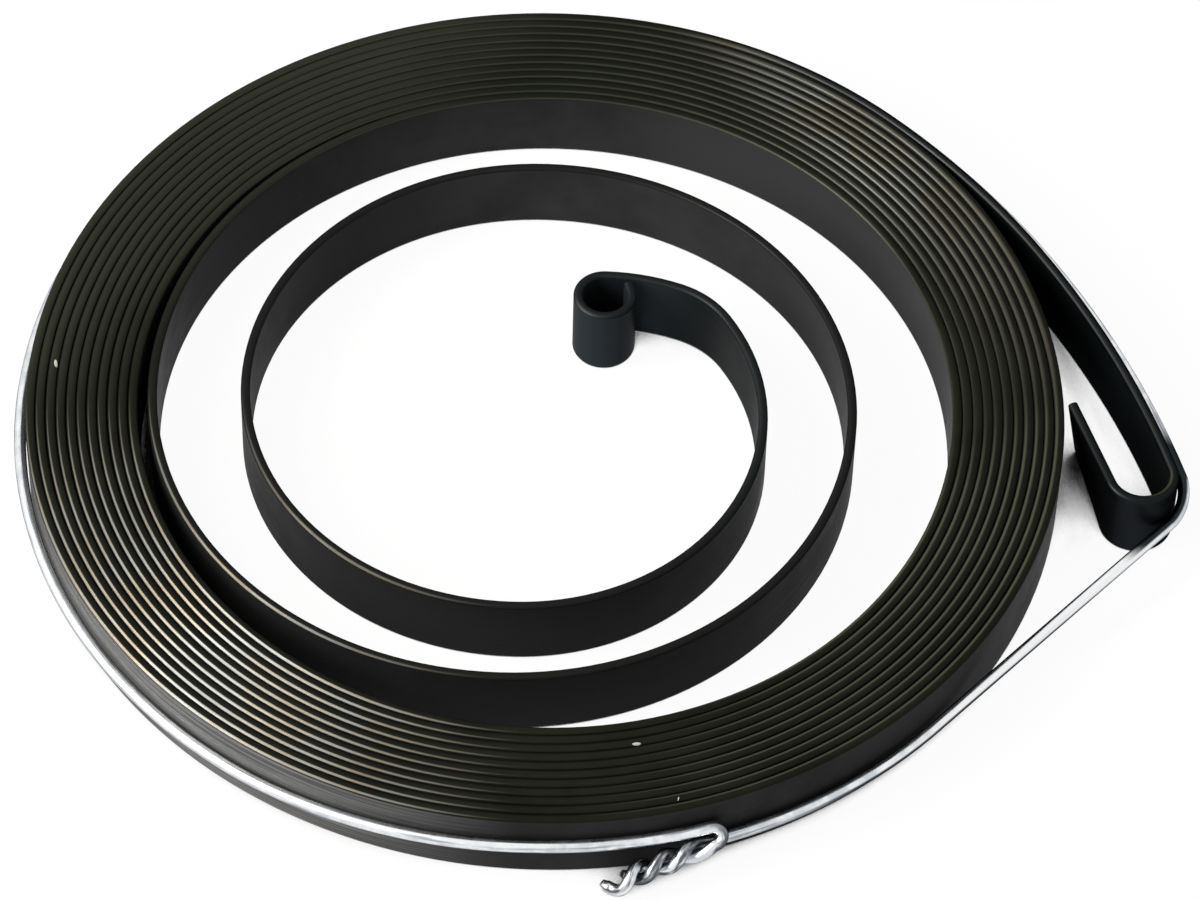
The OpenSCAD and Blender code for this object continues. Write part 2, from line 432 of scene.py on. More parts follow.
lean = math_node(sweep, "MULTIPLY", ramp(sweep, to_last, given["Lean Length"], 0.0), given["Last Lean"])
path = add(sweep, "GeometryNodeSetCurveTilt", {"Curve": path, "Tilt": lean}).outputs["Curve"]
print("nodes that lay the path:", len(sweep.nodes))

# %% Make the turns uneven
WAVE_LIMITS = (0.25, 0.75)
LIFT_SEED = 17.0
SWAY_SEED = 53.0


def noise_along(seed):
    """A smooth random number from -1 to 1 that changes along the run."""
    waves = math_node(sweep, "DIVIDE", distance, given["Wave Length"])
    values = {"W": math_node(sweep, "ADD", waves, seed), "Scale": 1.0, "Detail": 1.0}
    noise = add(sweep, "ShaderNodeTexNoise", values, noise_dimensions="1D").outputs["Fac"]
    return ramp(sweep, noise, *WAVE_LIMITS, -1.0, 1.0)


lift = math_node(sweep, "MULTIPLY", noise_along(LIFT_SEED), given["Lift"])
sway = math_node(sweep, "MULTIPLY", noise_along(SWAY_SEED), given["Sway"])
normal = add(sweep, "GeometryNodeInputNormal").outputs["Normal"]
sideways = add(sweep, "ShaderNodeVectorMath", {0: normal, "Scale": sway}, operation="SCALE")
upwards = add(sweep, "ShaderNodeCombineXYZ", {"Z": lift}).outputs["Vector"]
shift = add(sweep, "ShaderNodeVectorMath", {0: sideways.outputs["Vector"], 1: upwards}, operation="ADD")
moved = {"Geometry": path, "Offset": shift.outputs["Vector"]}
path = add(sweep, "GeometryNodeSetPosition", moved).outputs["Geometry"]
print("seeds of the two noises:", LIFT_SEED, SWAY_SEED)

# %% Carry the section along the path
to_end = math_node(sweep, "MINIMUM", distance, to_last)
pinch = ramp(sweep, to_end, 0.0, given["Pinched Length"], given["End Scale"], 1.0)
loop = add(sweep, "GeometryNodeObjectInfo", {"Object": given["Section"]}).outputs["Geometry"]
loop = add(sweep, "GeometryNodeMeshToCurve", {"Mesh": loop}).outputs["Curve"]
carried = {"Curve": path, "Profile Curve": loop, "Scale": pinch, "Fill Caps": True}
swept = add(sweep, "GeometryNodeCurveToMesh", carried).outputs["Mesh"]
swept = add(sweep, "GeometryNodeSetShadeSmooth", {"Geometry": swept}).outputs["Geometry"]
swept = add(sweep, "GeometryNodeRealizeInstances", {"Geometry": swept}).outputs["Geometry"]
finished = {"Geometry": swept, "Material": given["Finish"]}
swept = add(sweep, "GeometryNodeSetMaterial", finished).outputs["Geometry"]
add(sweep, "NodeGroupOutput", {"Piece": swept})
print("nodes in the sweep tree:", len(sweep.nodes))

# %% [markdown]
# ## Shared effects for the finishes
#
# Strip and wire are both drawn or rolled to size, which leaves fine lines along them, and both have been
# handled, which leaves soft smudges. Each effect is a shader group with its own inputs, so that the two
# materials can use it with different strengths. The groups put out plain values only: the shaders stay in
# the materials.

# %% Fine lines along a piece
LINE_LIMITS = (0.3, 0.7)


def attribute(tree, name):
    """A number that the sweep stored on the piece."""
    return add(tree, "ShaderNodeAttribute", attribute_name=name).outputs["Fac"]


def make_drawn_lines():
    """Noise stretched along the run: long streaks a fraction of a millimetre wide."""
    group = bpy.data.node_groups.new("Drawn lines", "ShaderNodeTree")
    new_socket(group, "Along", "Float", "INPUT")
    new_socket(group, "Round", "Float", "INPUT")
    new_socket(group, "Lines per mm", "Float", "INPUT", 10.0)
    new_socket(group, "Line Length mm", "Float", "INPUT", 20.0)
    new_socket(group, "Lines", "Float", "OUTPUT")
    given = add(group, "NodeGroupInput").outputs
    per_metre = math_node(group, "MULTIPLY", given["Lines per mm"], 1 / MM)
    line_l = math_node(group, "MULTIPLY", given["Line Length mm"], MM)
    place = add(group, "ShaderNodeCombineXYZ", {
        "X": math_node(group, "DIVIDE", given["Along"], line_l),
        "Y": math_node(group, "MULTIPLY", given["Round"], per_metre),
    }).outputs["Vector"]
    values = {"Vector": place, "Scale": 1.0, "Detail": 3.0, "Roughness": 0.6}
    noise = add(group, "ShaderNodeTexNoise", values).outputs["Fac"]
    add(group, "NodeGroupOutput", {"Lines": ramp(group, noise, *LINE_LIMITS)})
    return group


drawn_lines = make_drawn_lines()


def lines_on(tree, per_mm, line_l):
    """The drawn lines, placed in a material with its own values."""
    values = {
        "Along": attribute(tree, "along"),
        "Round": attribute(tree, "round"),
        "Lines per mm": per_mm,
        "Line Length mm": line_l,
    }
    return add(tree, "ShaderNodeGroup", values, node_tree=drawn_lines).outputs["Lines"]


print("shader group:", drawn_lines.name)

# %% Soft smudges from handling
SMUDGE_LIMITS = (0.35, 0.65)


def make_smudges():
    """Clouds on the piece's own coordinates."""
    group = bpy.data.node_groups.new("Smudges", "ShaderNodeTree")
    new_socket(group, "Size mm", "Float", "INPUT", 8.0)
    new_socket(group, "Smudge", "Float", "OUTPUT")
    given = add(group, "NodeGroupInput").outputs
    here = add(group, "ShaderNodeTexCoord").outputs["Object"]
    size = math_node(group, "MULTIPLY", given["Size mm"], MM)
    scale = math_node(group, "DIVIDE", 1.0, size)
    values = {"Vector": here, "Scale": scale, "Detail": 4.0, "Roughness": 0.65}
    noise = add(group, "ShaderNodeTexNoise", values).outputs["Fac"]
    add(group, "NodeGroupOutput", {"Smudge": ramp(group, noise, *SMUDGE_LIMITS)})
    return group


smudges = make_smudges()


def smudges_on(tree, size):
    """The smudges, placed in a material with its own size in millimetres."""
    return add(tree, "ShaderNodeGroup", {"Size mm": size}, node_tree=smudges).outputs["Smudge"]


print("shader group:", smudges.name)

# %% [markdown]
# ## Mixing colours and masks
#
# Both finishes are built up as a painter would: a ground colour, and over it one tint after another, each
# through a mask. A mask is a number from 0 to 1 that says how much of the tint shows at a point. These
# helpers mix colours, join masks and measure vectors.

# %% Helpers for the finishes
def new_material(name):
    """An empty material and its tree."""
    made = bpy.data.materials.new(name)
    made.use_nodes = True
    made.node_tree.nodes.clear()
    return made, made.node_tree


def opaque(colour):
    """A colour with the fourth number that its socket takes. A socket is left as it is."""
    return (*colour, 1.0) if isinstance(colour, tuple) else colour


def mix_colour(tree, share, first, second):
    """First colour where share is 0, second where it is 1."""
    ends = {0: share, 6: opaque(first), 7: opaque(second)}
    return add(tree, "ShaderNodeMix", ends, data_type="RGBA").outputs[2]


def mix_value(tree, share, first, second):
    """First value where share is 0, second where it is 1."""
    return add(tree, "ShaderNodeMix", {0: share, 2: first, 3: second}).outputs[0]


def both(tree, first, second):
    """A mask that is full where two masks are."""
    return math_node(tree, "MULTIPLY", first, second)


def measure(tree, operation, first, second):
    """The number that two vectors give, such as their dot product or their distance."""
    return add(tree, "ShaderNodeVectorMath", {0: first, 1: second}, operation=operation).outputs["Value"]


# %% [markdown]
# ## Blued spring steel
#
# The strip is tempered in oil, which leaves a thin black oxide. On the wide faces it is a neutral charcoal
# with a satin sheen, with painted light and shade on some walls. The rims, where the strip was slit, are
# browner, and thin glints are painted along their rounded edges. Both ends were heated again to be bent,
# so the eye and the hook are a bluer black.
#
# One plain colour would miss all of this, and a painted image isn't used here. Three kinds of mask find the
# places instead: the values that the sweep stored follow the strip from the eye to the hook, the way that a
# surface faces finds the edges for the painted glints, and the direction from the axis tells the sides of
# the coil apart, whose tones and painted light differ.

# %% Start the spring steel
spring_steel, tree = new_material("spring_steel")
run_l = attribute(tree, "along")
rim = attribute(tree, "rim")
places = add(tree, "ShaderNodeTexCoord").outputs
here = places["Object"]
lines = lines_on(tree, per_mm=7.0, line_l=24.0)
smudge = smudges_on(tree, size=9.0)
print("material:", spring_steel.name)

# %% Stretches of the strip
# How far from the inner end the eye and its strap go, and from the outer end the bend of the hook and the
# whole tail, in metres, and how softly one stretch goes over into the next
EYE_L = 0.013
STRAP_L = 0.034
BEND_L = 0.014
TAIL_L = 0.058
FADE = 0.012
# The loose turns go over into the pack between these shares of their length.
LOOSE_TO_PACK = (0.5, 1.1)

loose_l = sum(radius * math.radians(turn) for radius, turn in inner_bends) * MM
tail_starts = strip_length * MM - TAIL_L
bend_starts = strip_length * MM - BEND_L
leg_starts = (strip_length - HOOK_LEG) * MM
loose = ramp(tree, run_l, *(share * loose_l for share in LOOSE_TO_PACK), 1.0, 0.0)
packed = math_node(tree, "SUBTRACT", 1.0, loose)
on_strap = ramp(tree, run_l, STRAP_L, STRAP_L + FADE, 1.0, 0.0)
on_eye = ramp(tree, run_l, EYE_L, EYE_L + FADE / 2, 1.0, 0.0)
on_tail = ramp(tree, run_l, tail_starts - FADE, tail_starts)
on_bend = ramp(tree, run_l, bend_starts - FADE / 2, bend_starts)
on_leg = ramp(tree, run_l, leg_starts - FADE / 4, leg_starts + FADE / 4)
print("length of the loose turns and the eye, mm:", round(loose_l / MM))

# %% Sides of the coil
# A side is a direction from the axis, in degrees, and the two distances in metres between which it begins.
FAR_SIDE = (45, -0.01, 0.02)


def lies(degrees, near, far, *strengths):
    """A mask for one side of the coil. 0 degrees is +X, and 90 is +Y."""
    reach = measure(tree, "DOT_PRODUCT", here, polar(1, math.radians(degrees)))
    return ramp(tree, reach, near, far, *strengths)


def faces(way, low, high):
    """A mask for the surfaces that face a way, which is a unit vector."""
    return ramp(tree, measure(tree, "DOT_PRODUCT", places["Normal"], way), low, high)


far_side = lies(*FAR_SIDE)
near_side = math_node(tree, "SUBTRACT", 1.0, far_side)
print("the far side lies towards, degrees:", FAR_SIDE[0])

# %% Colour the walls
OXIDE = (0.034, 0.034, 0.036)
OXIDE_DEEP = (0.023, 0.023, 0.0235)
# Painted light: the walls towards the upper right are made paler, as if lit from the front left.
OXIDE_PAINTED_LIGHT = (0.043, 0.043, 0.0445)
# Painted shade: the near side of the loose turns is made darker, where the pack in front keeps light off.
OXIDE_SHADED = (0.0195, 0.0195, 0.0195)
STRAP_BLUE = (0.0072, 0.0092, 0.0100)
EYE_BLUE = (0.022, 0.027, 0.0315)
TAIL_BLUE = (0.019, 0.026, 0.029)
HOOK_BLUE = (0.021, 0.0232, 0.026)
LEG_BLUE = (0.016, 0.017, 0.018)
PAINTED_LIGHT_WALLS = (35, 0.018, 0.028)

wall = mix_colour(tree, smudge, OXIDE_DEEP, OXIDE)
for mask, tint in (
    (both(tree, loose, near_side), OXIDE_SHADED),
    (lies(*PAINTED_LIGHT_WALLS), OXIDE_PAINTED_LIGHT),
    (on_strap, STRAP_BLUE),
    (on_eye, EYE_BLUE),
    (on_tail, TAIL_BLUE),
    (on_bend, HOOK_BLUE),
    (on_leg, LEG_BLUE),
):
    wall = mix_colour(tree, mask, wall, tint)
print("nodes up to the walls:", len(tree.nodes))

# %% Paint a highlight on the last turn
# Painted highlight: the outer face of the last turn is made bright grey where it faces the lower left.
LAST_TURN_HIGHLIGHT = (0.2, 0.2, 0.195)
HIGHLIGHT_WAY = (-0.7, -0.714, 0.0)
HIGHLIGHT_LIMITS = (0.72, 0.99)
# Turns before the tail between which the mark comes in and goes out
LAST_FROM = (1.2, 1.1)
LAST_TO = (0.3, 0.2)
# The drawn lines break the mark up, and between them only this share of it is left.
LINE_EDGE = (0.2, 0.9)
SHARE_BETWEEN = 0.35

last_turn = 2 * math.pi * LEAD_R * MM
comes_in = ramp(tree, run_l, *(tail_starts - turns * last_turn for turns in LAST_FROM))
goes_out = ramp(tree, run_l, *(tail_starts - turns * last_turn for turns in LAST_TO), 1.0, 0.0)
painted_highlight = both(tree, faces(HIGHLIGHT_WAY, *HIGHLIGHT_LIMITS), both(tree, comes_in, goes_out))
painted_highlight = both(tree, painted_highlight, ramp(tree, lines, *LINE_EDGE, SHARE_BETWEEN, 1.0))
wall = mix_colour(tree, painted_highlight, wall, LAST_TURN_HIGHLIGHT)
print("length of the last turn, mm:", round(last_turn / MM))

# %% [markdown]
# ### Rims and painted glints
#
# Seen from above, the pack is a bundle of rims with narrow grooves between them. Old oil has turned the
# rims olive brown. They are darker at the back and paler at the upper left, and the grooves at the back are
# painted lighter, against their shade. Glints are painted on the rounded edges of the rims. These bright
# lines could be drawn as geometry, but a mask on the way that the edge faces is finer, and it keeps its
# place on every turn.

# %% Colour the rims
RIM_BROWN = (0.0092, 0.0100, 0.0073)
RIM_OLIVE = (0.0125, 0.0135, 0.0092)
# The rims are darker at the back and paler at the upper left.
RIM_PALE = (0.0225, 0.0245, 0.0172)
RIM_BACK = (0.0078, 0.0088, 0.0062)
RIM_LOOSE = (0.0115, 0.0115, 0.0115)
RIM_BLUE = (0.011, 0.013, 0.014)
# Painted light: the steep sides of the grooves at the back are made lighter, against the shade between the
# rims.
GROOVE_LIGHT = (0.045, 0.048, 0.036)
DARK_RIMS = (85, 0.022, 0.031)
PALE_RIMS = (139, 0.0225, 0.033)
LIT_GROOVES = (70, -0.005, 0.02)
# How far the edge has turned from wall to rim, from 0 to 1, where a rim and the painted light in a groove
# begin and where that light ends
RIM_FROM = (0.03, 0.3)
GROOVE_LIGHT_FROM = (0.03, 0.1)
GROOVE_LIGHT_TO = (0.35, 0.8)

groove_light = both(tree, ramp(tree, rim, *GROOVE_LIGHT_FROM), ramp(tree, rim, *GROOVE_LIGHT_TO, 1.0, 0.0))
groove_light = both(tree, groove_light, both(tree, packed, lies(*LIT_GROOVES)))
rim_colour = mix_colour(tree, smudge, RIM_BROWN, RIM_OLIVE)
for mask, tint in (
    (lies(*DARK_RIMS), RIM_BACK),
    (lies(*PALE_RIMS), RIM_PALE),
    (groove_light, GROOVE_LIGHT),
    (loose, RIM_LOOSE),
    (on_tail, RIM_BLUE),
    (on_strap, RIM_BLUE),
):
    rim_colour = mix_colour(tree, mask, rim_colour, tint)
colour = mix_colour(tree, ramp(tree, rim, *RIM_FROM), wall, rim_colour)
print("nodes up to the rims:", len(tree.nodes))

# %% Paint olive glints on the rims at the front right
# Painted glints: olive lines on the rounded rim edges at the front right that face one way.
OLIVE_GLINT = (0.095, 0.097, 0.068)
OLIVE_GLINT_WAY = (-0.46, 0.36, 0.812)
OLIVE_GLINT_LIMITS = (0.85, 0.97)
OLIVE_GLINT_RIMS = (-38, 0.024, 0.031)
OLIVE_GLINT_SHARE = 0.6

front_right = both(tree, packed, lies(*OLIVE_GLINT_RIMS, 0.0, OLIVE_GLINT_SHARE))
olive_glint = both(tree, faces(OLIVE_GLINT_WAY, *OLIVE_GLINT_LIMITS), front_right)
colour = mix_colour(tree, olive_glint, colour, OLIVE_GLINT)
print("nodes up to the olive lines:", len(tree.nodes))

# %% Paint glints on the rims
# Painted glints: the rounded rim edges that face the lamps are made bright, warm to grey.
GLINT = (0.16, 0.14, 0.108)
GLINT_GREY = (0.138, 0.141, 0.133)
GLINT_WAY = (-0.435, -0.435, 0.788)
# The lines are thin on the near side. On the far side they are broad, and grow stronger outwards.
THIN_LINE = (0.9, 0.962)
BROAD_LINE = (0.76, 0.96)
FAR_RIMS = (38, 0.0285, 0.033)
FAR_SHARES = (0.015, 0.3)
# How much is left of them on the loose turns and on the tail
LOOSE_SHARE = 0.3
TAIL_SHARE = 0.25
# Noise weakens the lines in places and turns them from warm to grey.
WEAK_TO_FULL = (0.2, 0.6)
WEAK_SHARE = 0.6
WARM_TO_GREY = (0.4, 0.6)

values = {"Vector": here, "Scale": 150.0, "Detail": 4.0, "Roughness": 0.6}
glint_noise = add(tree, "ShaderNodeTexNoise", values).outputs["Fac"]
painted_glint = mix_value(tree, far_side, faces(GLINT_WAY, *THIN_LINE), faces(GLINT_WAY, *BROAD_LINE))
for share in (
    ramp(tree, glint_noise, *WEAK_TO_FULL, WEAK_SHARE, 1.0),
    mix_value(tree, far_side, 1.0, lies(*FAR_RIMS, *FAR_SHARES)),
    ramp(tree, loose, 0.0, 1.0, 1.0, LOOSE_SHARE),
    ramp(tree, on_tail, 0.0, 1.0, 1.0, TAIL_SHARE),
):
    painted_glint = both(tree, painted_glint, share)
glint_colour = mix_colour(tree, ramp(tree, glint_noise, *WARM_TO_GREY), GLINT, GLINT_GREY)
colour = mix_colour(tree, painted_glint, colour, glint_colour)
print("nodes up to the rubbed lines:", len(tree.nodes))

# %% [markdown]
# ### Specks and sheen
#
# Three pale specks of dust lie on the rims. Each is a small ellipse: a Mapping node moves, turns and
# stretches the coordinates, so that the speck is where the result is shorter than 1.
#
# The oxide shines like something between metal and varnish. The shader is therefore part metal, and nearly
# all metal on the tail, whose walls would otherwise turn pale where they are seen at a slant. The specks
# aren't metal at all.

# %% Drop specks on the rims
DUST = (0.42, 0.41, 0.37)
# As (x, y, long way in degrees, length, width), in millimetres
SPECKS = ((-36.2, 1.7, 100.0, 0.8, 0.28), (7.1, -31.1, 8.0, 0.7, 0.22), (10.1, -35.7, 80.0, 0.32, 0.09))
SPECK_EDGE = (0.7, 1.0)

dusty = 0.0
for x, y, turn, length, width in SPECKS:
    spot = add(tree, "ShaderNodeMapping", {
        "Vector": here,
        "Location": (x * MM, y * MM, STRIP_W * MM),
        "Rotation": (0, 0, math.radians(turn)),
        "Scale": (length * MM / 2, width * MM / 2, STRIP_T * MM),
    }, vector_type="TEXTURE").outputs["Vector"]
    reach = add(tree, "ShaderNodeVectorMath", {0: spot}, operation="LENGTH").outputs["Value"]
    dusty = math_node(tree, "MAXIMUM", ramp(tree, reach, *SPECK_EDGE, 1.0, 0.0), dusty)
colour = mix_colour(tree, dusty, colour, DUST)
print("specks:", len(SPECKS))

# %% Finish the spring steel
# Roughness between and on the drawn lines, and what the smudges add to it
LINE_ROUGH = (0.36, 0.46)
SMUDGE_ROUGH = (-0.03, 0.05)
# Share of metal on the coil and on the tail
METAL = (0.6, 0.97)
LINE_DEPTH = 0.02 * MM

rough = math_node(tree, "ADD", ramp(tree, lines, 0.0, 1.0, *LINE_ROUGH),
                  ramp(tree, smudge, 0.0, 1.0, *SMUDGE_ROUGH))
metal = both(tree, ramp(tree, on_tail, 0.0, 1.0, *METAL), ramp(tree, dusty, 0.0, 1.0, 1.0, 0.0))
bump = add(tree, "ShaderNodeBump", {"Height": lines, "Strength": 0.12, "Distance": LINE_DEPTH})
shader = add(tree, "ShaderNodeBsdfPrincipled", {
    "Base Color": colour,
    "Metallic": metal,
    "Roughness": rough,
    "Normal": bump.outputs["Normal"],
    "Specular IOR Level": 0.1,
    "Specular Tint": (0.05, 0.05, 0.05, 1.0),
})
add(tree, "ShaderNodeOutputMaterial", {"Surface": shader.outputs["BSDF"]})
print("spring steel nodes:", len(tree.nodes))

# %% [markdown]
# ## Galvanised wire
#
# The tie wire is soft steel with a drawn zinc coat: bright, a little blue, with darker streaks along it.
# Pliers have scored its two ends, and the bend at the hook is scuffed dark. The free span between the pack
# and the hook is the cleanest part and shows white on top. Up to the hook, the wire's sides are darkened by
# painted shade and a painted reflection of the pack.
#
# A plain metal shader gives the zinc its brightness. The marks use the same two groups as the strip, with
# other values, and masks from the length along the wire.

# %% Start the zinc
galvanised_wire, tree = new_material("galvanised_wire")
run_l = attribute(tree, "along")
places = add(tree, "ShaderNodeTexCoord").outputs
lines = lines_on(tree, per_mm=3.0, line_l=9.0)
scores = lines_on(tree, per_mm=1.1, line_l=3.0)
smudge = smudges_on(tree, size=1.6)
print("material:", galvanised_wire.name)

# %% Stretches of the wire
# How far from its ends the wire was gripped, in metres
GRIPPED_L = 0.012


def path_length(points):
    """The length of a run of points."""
    return sum((ahead - point).length for point, ahead in zip(points, points[1:]))


wire_length = path_length(wire_run) * MM
twist_to = path_length(lower_twist) * MM
free_from = twist_to + front_r * (leave_at - TWIST_AT) * MM
free_to = free_from + math.sqrt(span.length**2 - (front_r - wire_hook_r) ** 2) * MM
before_hook = ramp(tree, run_l, free_to - FADE / 4, free_to, 1.0, 0.0)
free = both(tree, ramp(tree, run_l, free_from - FADE / 2, free_from + FADE / 2), before_hook)
to_hook = both(tree, ramp(tree, run_l, twist_to, twist_to + FADE), before_hook)
to_end = math_node(tree, "MINIMUM", run_l, math_node(tree, "SUBTRACT", wire_length, run_l))
gripped = ramp(tree, to_end, GRIPPED_L - FADE / 4, GRIPPED_L, 1.0, 0.0)
print("free span of the wire, mm:", round((free_to - free_from) / MM, 1))

# %% Colour the zinc
ZINC = (0.86, 0.875, 0.89)
ZINC_DULL = (0.60, 0.63, 0.66)
ZINC_STREAK = (0.20, 0.215, 0.235)
# The drawn lines that make a streak, and how much of the streaks shows on the coil and on the free span
STREAK_FROM = (0.62, 1.0)
STREAK_SHARE = 0.75
FREE_SHARE = 0.15

colour = mix_colour(tree, smudge, ZINC_DULL, ZINC)
colour = mix_colour(tree, free, colour, ZINC)
streak = both(tree, ramp(tree, lines, *STREAK_FROM, 0.0, STREAK_SHARE),
              ramp(tree, free, 0.0, 1.0, 1.0, FREE_SHARE))
colour = mix_colour(tree, streak, colour, ZINC_STREAK)
print("nodes up to the streaks:", len(tree.nodes))

# %% Paint shade on the sides up to the hook
# Painted shade on the outer side, and a painted dark reflection of the pack on the inner side.
ZINC_SIDE_SHADE = (0.06, 0.065, 0.07)
# How much a surface faces away from the axis on the outer and on the inner side of the wire
OUTER_SIDE = (0.8, 0.97)
INNER_SIDE = (-0.65, -0.35)
FLAT = (1.0, 1.0, 0.0)

flat_place = add(tree, "ShaderNodeVectorMath", {0: places["Object"], 1: FLAT}, operation="MULTIPLY")
from_axis = add(tree, "ShaderNodeVectorMath", {0: flat_place.outputs["Vector"]}, operation="NORMALIZE")
side = measure(tree, "DOT_PRODUCT", places["Normal"], from_axis.outputs["Vector"])
painted_side_shade = math_node(tree, "MAXIMUM", ramp(tree, side, *OUTER_SIDE), ramp(tree, side, *INNER_SIDE, 1.0, 0.0))
colour = mix_colour(tree, both(tree, painted_side_shade, to_hook), colour, ZINC_SIDE_SHADE)
print("nodes up to the dull sides:", len(tree.nodes))

# %% Scuff the bend and score the ends
ZINC_SCUFFED = (0.02, 0.025, 0.028)
ZINC_GRIPPED = (0.1, 0.108, 0.12)
# The scuff lies near the hook's centre, on all but the side that faces one way.
SCUFF_REACH = (0.0045, 0.0065)
CLEAN_WAY = (0.8, -0.6, 0.0)
CLEAN_LIMITS = (0.45, 0.8)
SCORE_LIMITS = (0.25, 0.65)

hook_middle = (hook_centre + UP * wire_mid) * MM
near_hook = ramp(tree, measure(tree, "DISTANCE", places["Object"], hook_middle), *SCUFF_REACH, 1.0, 0.0)
turned = measure(tree, "DOT_PRODUCT", places["Normal"], CLEAN_WAY)
scuffed = both(tree, near_hook, ramp(tree, turned, *CLEAN_LIMITS, 1.0, 0.0))
colour = mix_colour(tree, scuffed, colour, ZINC_SCUFFED)
scored = both(tree, gripped, ramp(tree, scores, *SCORE_LIMITS))
colour = mix_colour(tree, scored, colour, ZINC_GRIPPED)
print("nodes up to the scores:", len(tree.nodes))

# %% Finish the zinc
ZINC_LINE_ROUGH = (0.2, 0.3)
ZINC_SMUDGE_ROUGH = (0.1, 0.0)

rough = math_node(tree, "ADD", ramp(tree, lines, 0.0, 1.0, *ZINC_LINE_ROUGH),
                  ramp(tree, smudge, 0.0, 1.0, *ZINC_SMUDGE_ROUGH))
bump = add(tree, "ShaderNodeBump", {"Height": lines, "Strength": 0.2, "Distance": LINE_DEPTH})
shader = add(tree, "ShaderNodeBsdfPrincipled", {
    "Base Color": colour,
    "Metallic": 1.0,
    "Roughness": rough,
    "Normal": bump.outputs["Normal"],
    "Specular Tint": (0.2, 0.2, 0.22, 1.0),
})
add(tree, "ShaderNodeOutputMaterial", {"Surface": shader.outputs["BSDF"]})
print("zinc nodes:", len(tree.nodes))

# %% [markdown]
# ## Sweep the two pieces
#
# A run goes into the tree as a mesh of edges. The modifier's result is copied into a plain mesh, the
# helper object goes, and the normals are turned outwards. The piece then takes the CAD node's place and
# rides on the part's one body.

# %% A piece from a run
def sweep_piece(name, points, values):
    """One finished piece from a run and the tree's inputs."""
    run = bpy.data.meshes.new(name + "_run")
    run.from_pydata([point * MM for point in points], [(n, n + 1) for n in range(len(points) - 1)], [])
    helper = bpy.data.objects.new(name + "_run", run)
    bpy.context.collection.objects.link(helper)
    modifier = helper.modifiers.new("Sweep", "NODES")
    modifier.node_group = sweep
    for label, value in values.items():
        modifier[SWEEP_INPUTS[label]] = value
    depsgraph = bpy.context.evaluated_depsgraph_get()
    mesh = bpy.data.meshes.new_from_object(helper.evaluated_get(depsgraph), depsgraph=depsgraph)
    bpy.data.objects.remove(helper)
    shape = bmesh.new()
    shape.from_mesh(mesh)
    bmesh.ops.recalc_face_normals(shape, faces=shape.faces)
    shape.to_mesh(mesh)
    shape.free()
    mesh.name = name
    piece = bpy.data.objects.new(name, mesh)
    bpy.context.collection.objects.link(piece)
    print(name, "has", len(mesh.polygons), "faces")
    return piece


# %% Sweep the strip and the wire
SWAY = 0.015
WAVE_L = 70.0
LEG_LEAN = -10.0
PINCH_L = 0.5
PINCHED = 0.6
LENGTHS = {"Wave Length": WAVE_L * MM, "Pinched Length": PINCH_L * MM, "Lean Length": HOOK_LEG * MM}

strip = sweep_piece("coiled_strip", strip_run, {
    **LENGTHS,
    "Section": strip_loop,
    "Stands on Edge": True,
    "Lift": LIFT * MM,
    "Sway": SWAY * MM,
    "End Scale": 1.0,
    "Last Lean": math.radians(LEG_LEAN),
    "Finish": spring_steel,
})
wire = sweep_piece("tie_wire_loop", wire_run, {
    **LENGTHS,
    "Section": wire_loop,
    "Stands on Edge": False,
    "Lift": 0.0,
    "Sway": 0.0,
    "End Scale": PINCHED,
    "Last Lean": 0.0,
    "Finish": galvanised_wire,
})

# %% Put the pieces in the CAD nodes' place
for helper in (strip_loop, wire_loop):
    bpy.data.objects.remove(helper)
for piece, node, slot in ((strip, "spring_strip", "spring_steel"), (wire, "tie_wire", "galvanised_wire")):
    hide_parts(node)
    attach(piece, "root")
    print(piece.name, "stands for", node)

# %% [markdown]
# ## Floor and light
#
# The spring lies on a plain white sheet. The sheet and the sky are white for the camera and for anything
# that mirrors them, and light the spring at a moderate level. The sheet keeps a faint shadow, and goes dark
# in the narrow gaps between the loose turns. Two soft lamps stand on the left, a small warm one high up and
# a large neutral one lower down. They draw glints on the rims at the lower left and the upper right,
# where the rounded edges face halfway between the lamps and the camera, and painted glints in the
# steel's colour add to them.

# %% Make the white sheet
SHEET_WHITE = (0.85, 0.85, 0.85)
WHITE = (1.0, 1.0, 1.0)
SHADOW_SHARE = 0.05
# How far the gaps are felt for, and how open a point is where its glow starts and where it is full
GAP_REACH = 6.0 * MM
GAP_LIMITS = (0.21, 0.36)


def white_for_camera(tree):
    """1 for the rays on which white shows: from the camera, off metal and through glass."""
    ray = add(tree, "ShaderNodeLightPath").outputs
    seen = math_node(tree, "MAXIMUM", ray["Is Camera Ray"], ray["Is Glossy Ray"])
    return math_node(tree, "MAXIMUM", seen, ray["Is Transmission Ray"])


floor_white, tree = new_material("white_sheet")
matt = add(tree, "ShaderNodeBsdfDiffuse", {"Color": opaque(SHEET_WHITE)})
open_above = add(tree, "ShaderNodeAmbientOcclusion", {"Distance": GAP_REACH}, samples=16).outputs["AO"]
lit = {"Color": opaque(WHITE), "Strength": ramp(tree, open_above, *GAP_LIMITS)}
glow = add(tree, "ShaderNodeEmission", lit)
share = math_node(tree, "MULTIPLY", white_for_camera(tree), 1.0 - SHADOW_SHARE)
sheet = add(tree, "ShaderNodeMixShader", {0: share, 1: matt.outputs["BSDF"], 2: glow.outputs["Emission"]})
add(tree, "ShaderNodeOutputMaterial", {"Surface": sheet.outputs["Shader"]})
print("material:", floor_white.name)

# %% Make the floor
FLOOR_SIZE = 3.0

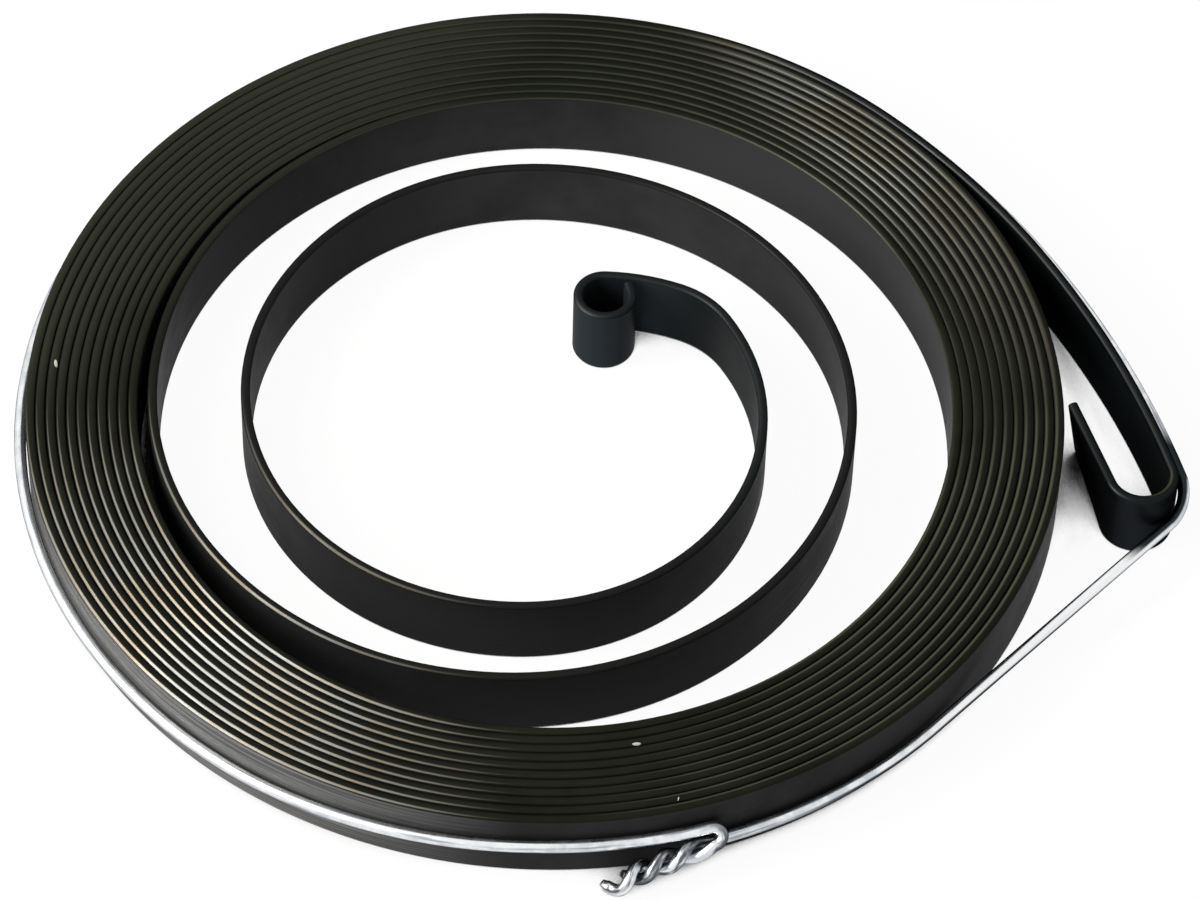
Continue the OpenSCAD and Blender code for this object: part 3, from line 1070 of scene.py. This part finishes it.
half = FLOOR_SIZE / 2
floor_mesh = bpy.data.meshes.new("floor")
corners = [(-half, -half, 0), (half, -half, 0), (half, half, 0), (-half, half, 0)]
floor_mesh.from_pydata(corners, [], [(0, 1, 2, 3)])
floor_mesh.materials.append(floor_white)
floor = bpy.data.objects.new("floor", floor_mesh)
bpy.context.collection.objects.link(floor)
print("width of the floor, m:", FLOOR_SIZE)

# %% Make the sky
SKY_LIGHT = 0.5

world = bpy.data.worlds.new("white_sky")
world.use_nodes = True
tree = world.node_tree
tree.nodes.clear()
strength = ramp(tree, white_for_camera(tree), 0.0, 1.0, SKY_LIGHT, 1.0)
sky = add(tree, "ShaderNodeBackground", {"Color": opaque(WHITE), "Strength": strength})
add(tree, "ShaderNodeOutputWorld", {"Surface": sky.outputs["Background"]})
bpy.context.scene.world = world
print("light from the sky:", SKY_LIGHT)

# %% Set up the lamps
WARM = (1.0, 0.96, 0.88)
NEUTRAL = (1.0, 0.99, 0.98)


def add_lamp(name, azimuth, elevation, distance, size, power, colour):
    """A soft square lamp that looks at the coil. Azimuth 0 is +X, and 90 is +Y."""
    light = bpy.data.lights.new(name, "AREA")
    light.size = size
    light.energy = power
    light.color = colour
    lamp = bpy.data.objects.new(name, light)
    bpy.context.collection.objects.link(lamp)
    flat = math.radians(azimuth)
    high = math.radians(elevation)
    aim = Vector((math.cos(flat) * math.cos(high), math.sin(flat) * math.cos(high), math.sin(high)))
    lamp.location = distance * aim
    lamp.rotation_euler = aim.to_track_quat("Z", "Y").to_euler()
    print("lamp:", name, "with", power, "W")


add_lamp("key_left", azimuth=185, elevation=50, distance=0.25, size=0.08, power=0.45, colour=WARM)
add_lamp("front_left", azimuth=200, elevation=30, distance=0.4, size=0.2, power=2.1, colour=NEUTRAL)

# %% [markdown]
# ## Camera
#
# Seen from 0.43 m with a long lens, the near and the far side of the coil have the sizes that they have in
# the photograph. The camera looks along +Y, 51 degrees above the table, and is turned very slightly about
# its own axis.

# %% Make the camera
SENSOR_W = 36.0
LENS = 174.7
CLIP_NEAR = 0.01
ELEVATION = math.radians(51.23)
ROLL = math.radians(1.732)
LOOK_AT = Vector((3.927, -0.108, 0.0)) * MM
DISTANCE = 431.07 * MM

camera_data = bpy.data.cameras.new("camera")
camera_data.sensor_width = SENSOR_W
camera_data.lens = LENS
camera_data.clip_start = CLIP_NEAR
camera = bpy.data.objects.new("camera", camera_data)
bpy.context.collection.objects.link(camera)
forward = Vector((0, math.cos(ELEVATION), -math.sin(ELEVATION)))
right = Vector((1, 0, 0))
upward = right.cross(forward)
rolled_right = math.cos(ROLL) * right + math.sin(ROLL) * upward
rolled_up = math.cos(ROLL) * upward - math.sin(ROLL) * right
turn = Matrix((rolled_right, rolled_up, -forward)).transposed().to_4x4()
camera.matrix_world = Matrix.Translation(LOOK_AT - DISTANCE * forward) @ turn
bpy.context.scene.camera = camera
bpy.context.scene.view_settings.view_transform = "Standard"
print("camera distance, m:", round(DISTANCE, 3))
